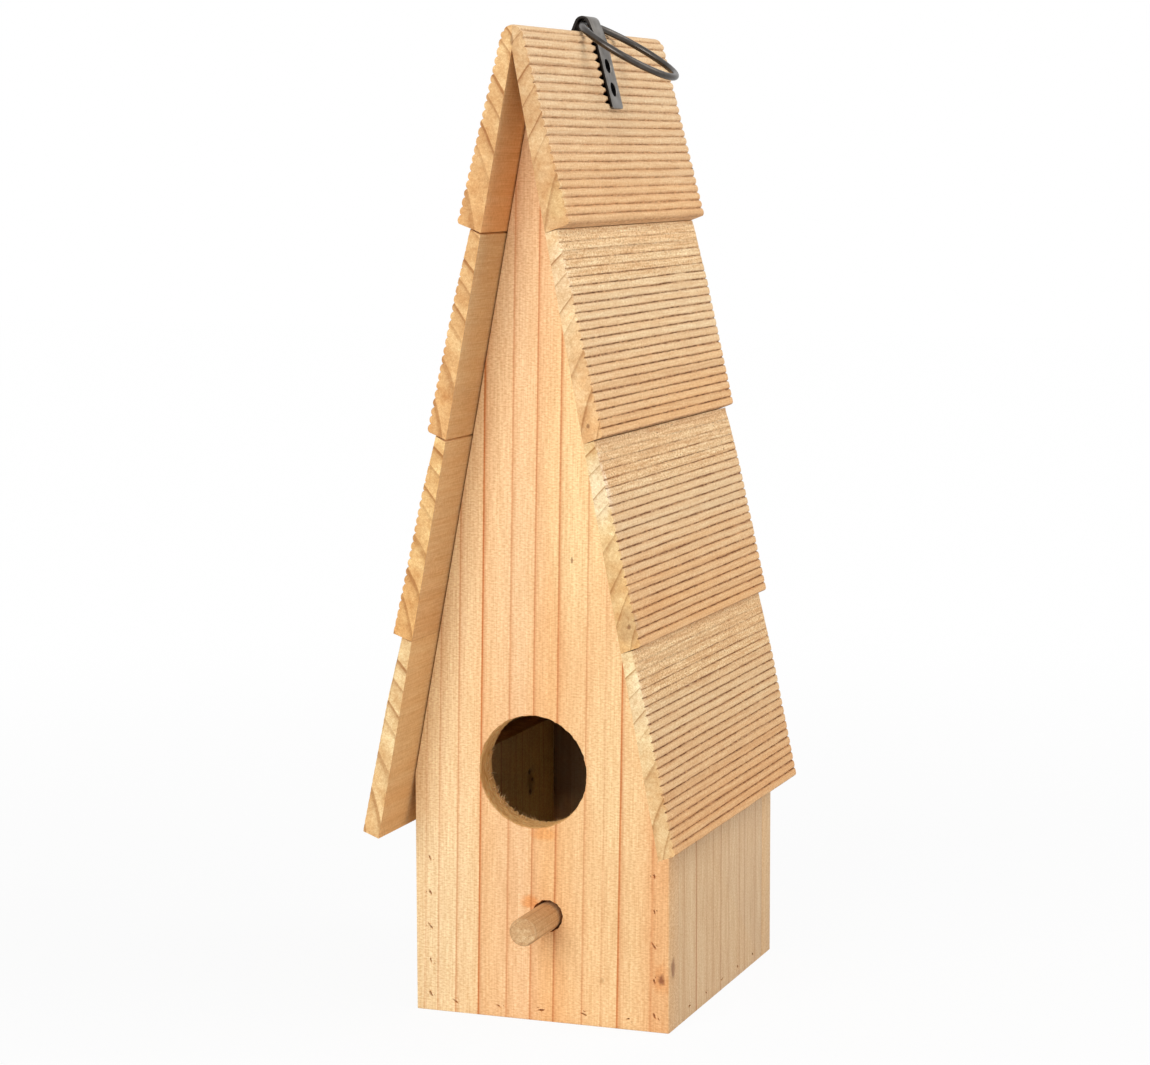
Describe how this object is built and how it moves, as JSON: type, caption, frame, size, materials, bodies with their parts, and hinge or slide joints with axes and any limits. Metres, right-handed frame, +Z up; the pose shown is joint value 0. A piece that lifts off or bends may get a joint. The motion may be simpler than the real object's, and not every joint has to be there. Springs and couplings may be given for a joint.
{
  "type": "bird nest box",
  "caption": "Tall softwood bird nest box with a steep stepped roof of ribbed boards, a round entrance, a dowel perch and a swinging wire ring in a steel strap over the ridge.",
  "frame": {"origin": "on the ground, in the middle of the roof's width and length", "axes": "+Z up, +X to the right as seen from the entrance, +Y to the back"},
  "size_m": [0.1168, 0.1466, 0.3552],
  "materials": {
    "panel_wood": "raw, sawn",
    "roof_wood": "raw, sawn",
    "perch_wood": "raw, sawn",
    "strap_steel": "satin",
    "ring_steel": "satin",
    "screw_steel": "satin",
    "brad_steel": "satin"
  },
  "bodies": {
    "house": {"front_panel": "panel_wood", "back_panel": "panel_wood", "left_side_wall": "panel_wood", "right_side_wall": "panel_wood", "floor_board": "panel_wood", "perch_dowel": "perch_wood", "hanger_strap": "strap_steel", "strap_screws": "screw_steel", "front_wall_brads": "brad_steel", "front_floor_brads": "brad_steel", "back_wall_brads": "brad_steel", "back_floor_brads": "brad_steel", "side_floor_brads": "brad_steel", "left_roof_brads": "brad_steel", "right_roof_brads": "brad_steel", "left_roof_board_1": "roof_wood", "left_roof_board_2": "roof_wood", "left_roof_board_3": "roof_wood", "left_roof_board_4": "roof_wood", "right_roof_board_1": "roof_wood", "right_roof_board_2": "roof_wood", "right_roof_board_3": "roof_wood", "right_roof_board_4": "roof_wood"},
    "ring": {"hanging_ring": "ring_steel"}
  },
  "joints": [
    {"name": "ring_swing", "type": "hinge", "parent": "house", "child": "ring", "pos_m": [0, 0, 0.35197], "axis": [0, 1, 0], "range_deg": [-240.9, 0]}
  ]
}
